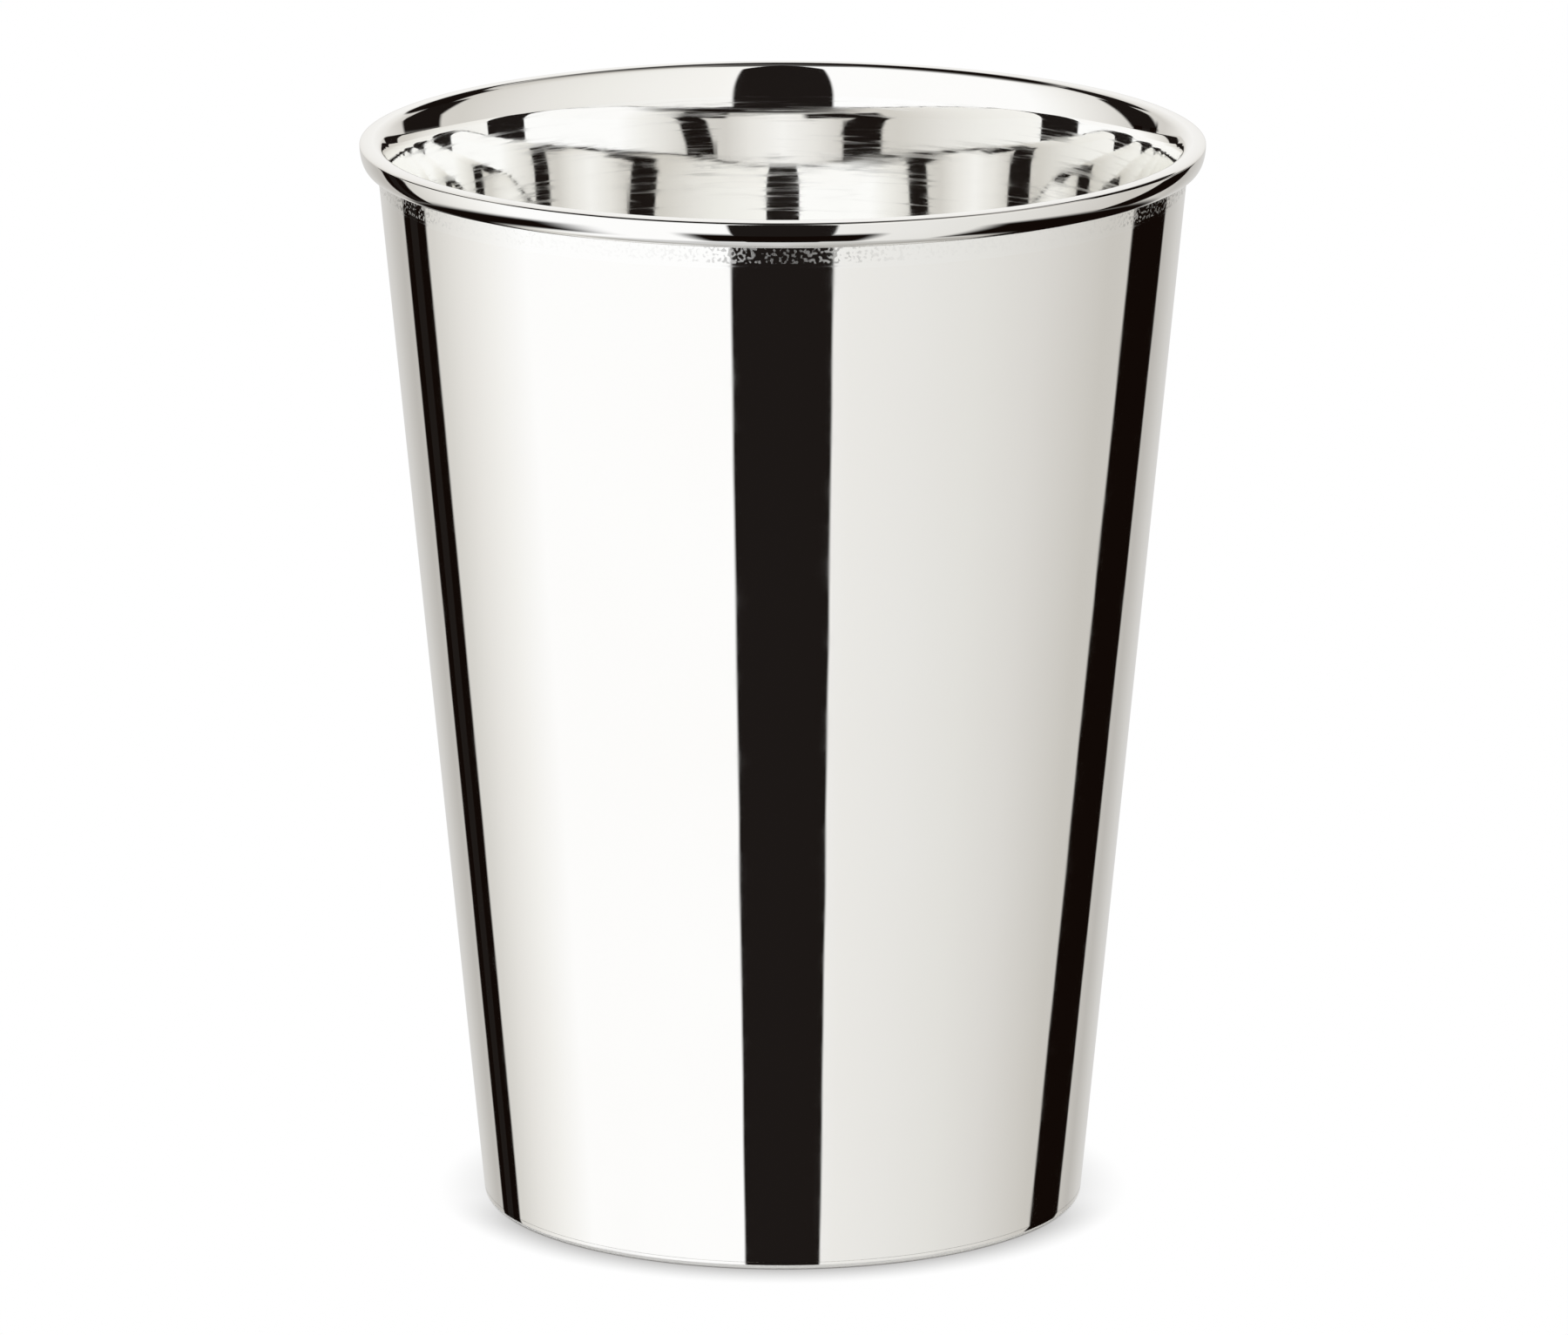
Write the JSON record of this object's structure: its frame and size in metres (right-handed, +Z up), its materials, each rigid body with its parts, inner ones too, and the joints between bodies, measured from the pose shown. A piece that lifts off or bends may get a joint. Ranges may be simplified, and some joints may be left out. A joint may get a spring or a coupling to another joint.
{
  "type": "drinking beaker",
  "caption": "Tapered metal drinking beaker with a mirror silver-plated finish, a half-round beaded rim, a thick rounded lip and a flat standing ring under its base.",
  "frame": {"origin": "centre of the circle that the beaker stands on", "axes": "+Z up along the beaker's axis, +X to the right and -Y towards the viewer of the picture"},
  "size_m": [0.0776, 0.0776, 0.1],
  "materials": {
    "silver_plate": "mirror-polished silver plate on brass",
    "silver_solder": "silver solder under the plate, less polished"
  },
  "bodies": {
    "root": {"side_wall": "silver_plate", "rim_wire": "silver_plate", "rim_solder": "silver_solder", "base_plate": "silver_plate", "base_solder": "silver_solder"}
  },
  "joints": []
}
